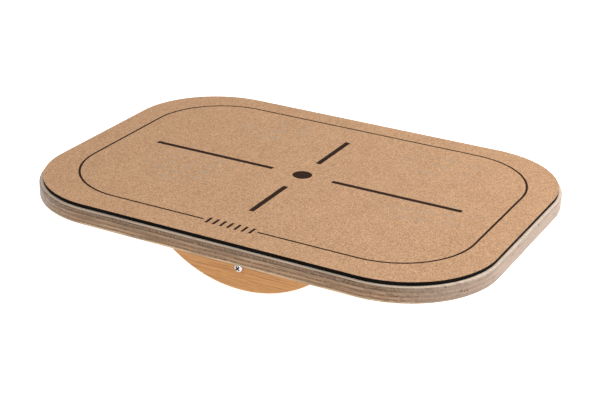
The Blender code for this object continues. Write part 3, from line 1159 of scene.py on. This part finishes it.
@dataclass
class Mat:
    """The rubber backing and the cork sheet, with the markings burnt into the cork."""

    corner_radius: float = 0.0867
    cork_thickness: float = 0.0002
    rubber_edge: float = 0.0002
    cork_edge: float = 0.00004
    mark_depth: float = 0.0001
    offset_y: float = 0.003
    border_margin: float = 0.0265
    border_radius: float = 0.0738
    line_width: float = 0.0022
    dot_radius: float = 0.00925
    bar_width: float = 0.0052
    bar_to_dot: float = 0.022
    bar_to_border: float = 0.035
    tick_count: int = 7
    tick_spacing: float = 0.0072
    tick_width: float = 0.0026
    tick_height: float = 0.011
    ticks_to_border: float = 0.004

    def __post_init__(self) -> None:
        """Read the mat's place from the frame."""
        self.low, self.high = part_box("cork_sheet")

    def layer(self, bottom: float, top: float) -> tuple[Vector, Vector]:
        """Give the box of a layer between two heights."""
        return Vector((*self.low.xy, bottom)), Vector((*self.high.xy, top))

    def build_rubber(self, slab: SlabTree, bottom: float) -> None:
        """Make the rubber backing, up to the cork.

        Args:
            slab: The tree that grows boards.
            bottom: The height of the deck's top.
        """
        box = self.layer(bottom + HAIR_GAP, self.high.z - self.cork_thickness - HAIR_GAP)
        rubber = slab.board("rubber_layer", *box, self.corner_radius, self.rubber_edge, BLACK_RUBBER.make())
        present(rubber, "rubber", "rubber_backing")

    def build_cork(self, slab: SlabTree, markings: MarkingTree) -> None:
        """Make the cork sheet and burn the markings into it.

        Args:
            slab: The tree that grows boards.
            markings: The tree that grows the markings' shapes, where line_width feeds Line Width and so on.
        """
        box = self.layer(self.high.z - self.cork_thickness, self.high.z)
        cork = slab.board("cork_top", *box, self.corner_radius, self.cork_edge, CorkFinish().make())
        values = {size.name.replace("_", " ").title(): getattr(self, size.name) for size in fields(self)}
        values |= {
            "Floor": self.high.z - self.mark_depth,
            "Roof": self.high.z + self.mark_depth,
            "Border Half X": (self.high.x - self.low.x) / 2 - self.border_margin,
            "Border Half Y": (self.high.y - self.low.y) / 2 - self.border_margin,
            "Break": (self.tick_count - 1) * self.tick_spacing + self.tick_width + 2 * self.ticks_to_border,
            "Material": BURNT_CORK.make(),
        }
        cut(cork, markings.grow("markings", values))
        present(cork, "cork", "cork_sheet")


@dataclass
class Rocker:
    """One arc-shaped plate under the deck, with its drilled holes and the stretcher's socket."""

    end: BoardEnd
    edge_radius: float = 0.0012
    edge_steps: int = 5
    arc_steps: int = 160
    bore_steps: int = 64
    socket_depth: float = 0.006
    socket_radius: float = 0.0113
    hole_radius: float = 0.00255
    screw_hole_radius: float = 0.0023
    screw_hole_steps: int = 24
    overrun: float = 0.002

    def __post_init__(self) -> None:
        """Read the plate's place and work out its arc from the frame."""
        self.low, self.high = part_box(f"rocker_{self.end.label}")
        half, depth = self.high.x, self.high.z - self.low.z
        self.radius = (half * half + depth * depth) / (2 * depth)
        self.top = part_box("plywood_deck")[0].z - HAIR_GAP

    def outline(self, inset: float, y: float) -> Ring:
        """Draw the plate's edge at one depth: an arc below, closed by the flat top.

        Args:
            inset: How far it lies inside the full arc.
            y: The depth.

        Returns:
            The points of the edge.
        """
        radius, centre = self.radius - inset, self.low.z + self.radius
        reach = math.acos((centre - self.top) / radius)
        angles = [reach * (2 * step / self.arc_steps - 1) for step in range(self.arc_steps + 1)]
        return [Vector((radius * math.sin(a), y, centre - radius * math.cos(a))) for a in angles]

    def rings(self) -> list[Ring]:
        """Draw the plate's outline from its front face to its rear face, eased at both.

        Returns:
            The outlines, in order.
        """
        found = []
        for face, inwards in ((self.low.y, 1), (self.high.y, -1)):
            eased = []
            for step in range(self.edge_steps + 1):
                angle = step / self.edge_steps * QUARTER_TURN
                y = face + inwards * self.edge_radius * (1 - math.cos(angle))
                eased.append(self.outline(self.edge_radius * (1 - math.sin(angle)), y))
            found += eased[::inwards]
        return found

    def build(self, finish: Material, axis_height: float, screws: Sequence[Vector], tip: float) -> None:
        """Make the plate and drill it.

        Args:
            finish: Its wood.
            axis_height: The height of the stretcher's axis.
            screws: The places of all the deck screws.
            tip: The height that the deck screws' holes reach down to.
        """
        plate = lofted(f"rocker_plate_{self.end.label}", finish, self.rings())
        away = self.end.value
        outer, inner = (self.low.y, self.high.y)[:: -away]
        socket = inner + away * self.socket_depth
        profile = (
            (self.hole_radius, outer + away * self.overrun),
            (self.hole_radius, socket),
            (self.socket_radius, socket),
            (self.socket_radius, inner - away * self.overrun),
        )
        holes = [turned(profile, self.bore_steps, lying(axis_height))]
        hole = ((self.screw_hole_radius, tip), (self.screw_hole_radius, self.top + self.overrun))
        for place in screws:
            if place.y * away > 0:
                holes.append(turned(hole, self.screw_hole_steps, Matrix.Translation((place.x, place.y, 0))))
        cut(plate, lofted("rocker_holes", finish, *holes))
        present(plate, "rocker_wood", f"rocker_{self.end.label}")


@dataclass
class Stretcher:
    """The round bar between the rockers."""

    chamfer: float = 0.0008
    steps: int = 64
    pilot_steps: int = 24
    pilot_radius: float = 0.00255
    pilot_depth: float = 0.029

    def __post_init__(self) -> None:
        """Read the bar's place from the frame."""
        self.low, self.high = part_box("stretcher_bar")
        self.axis_height = (self.high.z + self.low.z) / 2

    def build(self, finish: Material) -> None:
        """Make the bar, with eased ends and a pilot hole in each.

        Args:
            finish: Its wood.
        """
        reach, radius, lay = self.high.y, (self.high.z - self.low.z) / 2, lying(self.axis_height)
        half = ((radius - self.chamfer, reach), (radius, reach - self.chamfer))
        profile = [(size, -y) for size, y in half] + list(half[::-1])
        bar = lofted("stretcher", finish, turned(profile, self.steps, lay))
        holes = []
        for side in (-1, 1):
            ends = [(self.pilot_radius, side * y) for y in (reach - self.pilot_depth, reach + self.chamfer)]
            holes.append(turned(ends, self.pilot_steps, lay))
        cut(bar, lofted("pilot_holes", finish, *holes))
        present(bar, "beech", "stretcher_bar")


@dataclass(frozen=True)
class WoodScrew:
    """A wood screw along -Z, with its head's bearing plane or flat top at z = 0."""

    form: HeadForm
    diameter: float
    length: float
    thread: float
    head_radius: float
    head_height: float
    pitch: float = 0.002
    steps: int = 32
    dome_steps: int = 10
    dome_angle: float = math.radians(62)
    side_height: float = 0.0006
    side_taper: float = 0.97
    flat_edge: float = 0.0003
    root_share: float = 0.66
    shank_share: float = 0.74
    tip_length: float = 0.004
    recess_depth: float = 0.0022
    slot_width: float = 0.0015
    recess_reach: float = 0.0027
    recess_taper: float = 0.5
    recess_overrun: float = 0.0005

    def head_profile(self) -> list[Pair]:
        """Draw the head in section.

        Returns:
            Pairs of radius and height, from the middle of the head's top down to the shank.
        """
        shank, head = self.diameter / 2 * self.shank_share, self.head_radius
        if self.form is HeadForm.COUNTERSUNK:
            return [(head, 0.0), (head, -self.flat_edge), (shank, shank - head)]
        rise = (self.head_height - self.side_height) / math.sin(self.dome_angle)
        angles = [self.dome_angle * step / self.dome_steps for step in range(self.dome_steps, -1, -1)]
        dome = [(head * math.cos(angle), self.side_height + rise * math.sin(angle)) for angle in angles]
        return dome + [(head * self.side_taper, 0.0), (shank, 0.0)]

    def build(self, name: str, finish: Material) -> Object:
        """Make one screw.

        Args:
            name: The object's name.
            finish: Its metal.

        Returns:
            The screw, standing on its tip under z = 0.
        """
        start = -self.length + self.thread
        neck = (self.diameter / 2 * self.shank_share, start + self.pitch / 2)
        bm = bmesh.new()
        self.add_thread(bm, loft(bm, turned(self.head_profile() + [neck], self.steps)), start)
        screw = object_from(name, bm, finish)
        # The recess's cut faces take the dark material, which paints shade inside the cross recess.
        cut(screw, lofted(f"{name}_recess", PAINTED_SHADE_RECESS.make(), self.recess_rings()))
        return screw

    def add_thread(self, bm: bmesh.types.BMesh, top: list[bmesh.types.BMVert], start: float) -> None:
        """Run a helical thread from a loop of points down to the tip.

        Args:
            bm: The screw's mesh.
            top: The lowest loop of the plain shank.
            start: The height where the thread starts.
        """
        steps = self.steps
        count = round((self.thread - self.tip_length) / self.pitch) * steps

        def spiral(radius: float, height: float, total: int) -> list[bmesh.types.BMVert]:
            """Add total points of a helix that falls from a height."""
            turns = [(FULL_TURN * i / steps, height - self.pitch * i / steps) for i in range(total)]
            return [bm.verts.new((radius * math.cos(a), radius * math.sin(a), z)) for a, z in turns]

        root = spiral(self.diameter / 2 * self.root_share, start, count + 1)
        crest = spiral(self.diameter / 2, start - self.pitch / 2, count - steps + 1)
        last, lowest, point = steps - 1, root[count - steps :], bm.verts.new((0, 0, -self.length))
        faces = [(root[0], crest[0], root[steps]), (root[-1 - steps], root[-1], crest[-1])]
        for i in range(len(crest) - 1):
            faces.append((root[i], root[i + 1], crest[i + 1], crest[i]))
            faces.append((crest[i], crest[i + 1], root[i + 1 + steps], root[i + steps]))
        faces += [(top[i], top[i + 1], root[i + 1], root[i]) for i in range(last)]
        faces += [(top[last], top[0], root[0]), (top[last], root[0], root[steps])]
        faces += [(top[last], root[steps], root[last]), (lowest[0], point, lowest[-1])]
        faces += [(lowest[i], lowest[i + 1], point) for i in range(steps)]
        for face in faces:
            bm.faces.new(face)

    def recess_rings(self) -> list[Ring]:
        """Lay out the tapering cross recess, set at 45 degrees.

        Returns:
            Its rings, from its floor up.
        """
        top = self.head_height if self.form is HeadForm.PAN else 0.0
        levels = ((self.recess_taper, top - self.recess_depth), (1.0, top), (1.1, top + self.recess_overrun))
        half = self.slot_width / 2
        rings = []
        for scale, height in levels:
            tip, ring = self.recess_reach * scale, []
            for quarter in range(4):
                turn = Matrix.Rotation((quarter + 0.5) * QUARTER_TURN, 3, "Z")
                ring += [turn @ Vector((x, y, height)) for x, y in ((tip, -half), (tip, half), (half, half))]
            rings.append(ring)
        return rings


@dataclass
class Fixings:
    """All the screws: one row through the deck above each rocker, and one at each end of the stretcher."""

    per_row: int = 4
    tip_clearance: float = 0.0008
    deck_screw: WoodScrew = WoodScrew(HeadForm.COUNTERSUNK, 0.004, 0.035, 0.020, 0.004, 0.0)
    pan_screw: WoodScrew = WoodScrew(HeadForm.PAN, 0.0045, 0.040, 0.024, 0.0041, 0.0027)

    def row_nodes(self, end: BoardEnd) -> list[str]:
        """List the CAD nodes of one row of deck screws."""
        return [f"deck_screw_{end.label}_{number + 1}" for number in range(self.per_row)]

    def deck_places(self) -> list[Vector]:
        """Find the middle of every deck screw's head, at its top.

        Returns:
            The places, row by row.
        """
        places = []
        for end in BoardEnd:
            for low, high in map(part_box, self.row_nodes(end)):
                places.append(Vector(((low.x + high.x) / 2, (low.y + high.y) / 2, high.z)))
        return places

    def deck_tip(self) -> float:
        """Find the height that the deck screws' holes reach down to."""
        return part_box(self.row_nodes(BoardEnd.FRONT)[0])[0].z - self.tip_clearance

    def build_rows(self, tree: ScrewRowTree, finish: Material) -> None:
        """Make the two rows of deck screws, each from one screw repeated on its points.

        Args:
            tree: The tree that repeats a screw.
            finish: The screws' metal.
        """
        places = self.deck_places()
        reach = sorted(abs(place.x) for place in places)
        for end in BoardEnd:
            one = self.deck_screw.build(f"screw_pattern_{end.label}", finish)
            first = next(place for place in places if place.y * end.value > 0)
            values = {"Inner X": reach[0], "Outer X": reach[-1], "Y": first.y, "Z": first.z}
            values["Material"] = finish
            row = tree.grow(f"deck_screws_{end.label}", values, one.data)
            bpy.data.objects.remove(one)
            present(row, "zinc_plated_steel", *self.row_nodes(end))

    def build_pan_screws(self, finish: Material) -> None:
        """Make the pan-head screw at each end of the stretcher.

        Args:
            finish: The screws' metal.
        """
        for end in BoardEnd:
            node = f"stretcher_screw_{end.label}"
            low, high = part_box(node)
            tip = high.y if end is BoardEnd.FRONT else low.y
            bearing = tip + end.value * self.pan_screw.length
            screw = self.pan_screw.build(f"pan_screw_{end.label}", finish)
            place = Matrix.Translation((0, bearing, (low.z + high.z) / 2))
            screw.data.transform(place @ Matrix.Rotation(-end.value * QUARTER_TURN, 4, "X"))
            present(screw, "zinc_plated_steel", node)


# ---- Studio ----


@dataclass(frozen=True)
class SoftLight:
    """A square soft light that faces the board; its power is in watts."""

    name: str
    place: Triple
    size: float
    power: float
    colour: Triple

    def build(self, target: Vector) -> None:
        """Hang the light.

        Args:
            target: What it faces.
        """
        data = bpy.data.lights.new(self.name, "AREA")
        data.shape = "SQUARE"
        data.size = self.size
        data.energy = self.power
        data.color = self.colour
        made = link_object(self.name, data)
        made.location = self.place
        made.rotation_euler = (target - made.location).to_track_quat("-Z", "Y").to_euler()


@dataclass
class Studio:
    """A pale table, soft light from the right and the camera."""

    azimuth: float = math.radians(27.87)
    elevation: float = math.radians(23.895)
    roll: float = math.radians(1.332)
    distance: float = 1.3467
    aim_drop: float = 0.02276
    aim_offset: Triple = (-0.0011, 0.0006, 0.0)
    lens: float = 86.93
    floor_size: float = 16.0
    sky: float = 0.61
    below: float = 0.80
    horizon: float = 0.05
    lights: tuple[SoftLight, ...] = (
        SoftLight("key_light", (1.10, 0.60, 0.76), 0.9, 17.0, (1.0, 0.985, 0.965)),
        SoftLight("fill_light", (0.75, -1.5, 0.80), 0.5, 6.6, (1.0, 0.99, 0.98)),
    )

    def build_sky(self) -> None:
        """Light the board evenly from above and, a little more, from the table below."""
        world = bpy.data.worlds.new("soft_sky")
        world.use_nodes = True
        sheet = NodeSheet(world.node_tree)
        height = sheet.parts(sheet.wire("ShaderNodeTexCoord", output="Generated"))[2]
        limits = {0: height, 1: -self.horizon, 2: self.horizon, 3: self.below, 4: self.sky}
        background = world.node_tree.nodes["Background"].inputs
        background["Color"].default_value = (1.0, 1.0, 1.0, 1.0)
        sheet.feed(background["Strength"], sheet.wire("ShaderNodeMapRange", limits))
        bpy.context.scene.world = world
        bpy.context.scene.view_settings.view_transform = "Standard"

    def build_floor(self) -> None:
        """Lay the table that the rockers stand on."""
        half = self.floor_size / 2
        bm = bmesh.new()
        corners = ((-half, -half), (half, -half), (half, half), (-half, half))
        bm.faces.new([bm.verts.new((*corner, 0.0)) for corner in corners])
        floor = object_from("studio_table", bm, FloorFinish().make())
        floor.visible_diffuse = False
        floor.visible_shadow = False

    def build_camera(self, top_centre: Vector) -> None:
        """Set up the camera.

        Args:
            top_centre: The middle of the board's top.
        """
        turn = Matrix.Rotation(self.azimuth, 4, "Z") @ Matrix.Rotation(QUARTER_TURN - self.elevation, 4, "X")
        turn = turn @ Matrix.Rotation(self.roll, 4, "Z")
        place = top_centre + Vector(self.aim_offset) + turn @ Vector((0.0, -self.aim_drop, self.distance))
        data = bpy.data.cameras.new("studio_camera")
        data.lens = self.lens
        camera = link_object("studio_camera", data)
        camera.matrix_world = Matrix.Translation(place) @ turn
        bpy.context.scene.camera = camera

    def build(self, top_centre: Vector) -> None:
        """Build the floor, the lights and the camera around the board.

        Args:
            top_centre: The middle of the board's top.
        """
        self.build_floor()
        for light in self.lights:
            light.build(top_centre)
        self.build_sky()
        self.build_camera(top_centre)
        LOG.info("studio: camera %.3f m from the board", self.distance)


def main() -> None:
    """Build every piece of the board and the studio around it."""
    logging.basicConfig(level=logging.INFO, format="%(name)s: %(message)s")
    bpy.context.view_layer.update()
    slab = SlabTree()
    deck, mat, stretcher, fixings = Deck(), Mat(), Stretcher(), Fixings()
    places = fixings.deck_places()

    deck.build(slab, places)
    mat.build_rubber(slab, deck.high.z)
    mat.build_cork(slab, MarkingTree())

    rocker_wood = ROCKER_WOOD.make()
    for end in BoardEnd:
        Rocker(end).build(rocker_wood, stretcher.axis_height, places, fixings.deck_tip())
    stretcher.build(TURNED_BEECH.make())

    zinc = BRIGHT_ZINC.make()
    fixings.build_rows(ScrewRowTree(), zinc)
    fixings.build_pan_screws(zinc)

    Studio().build(Vector((0.0, 0.0, mat.high.z)))


if __name__ == "__main__":
    main()
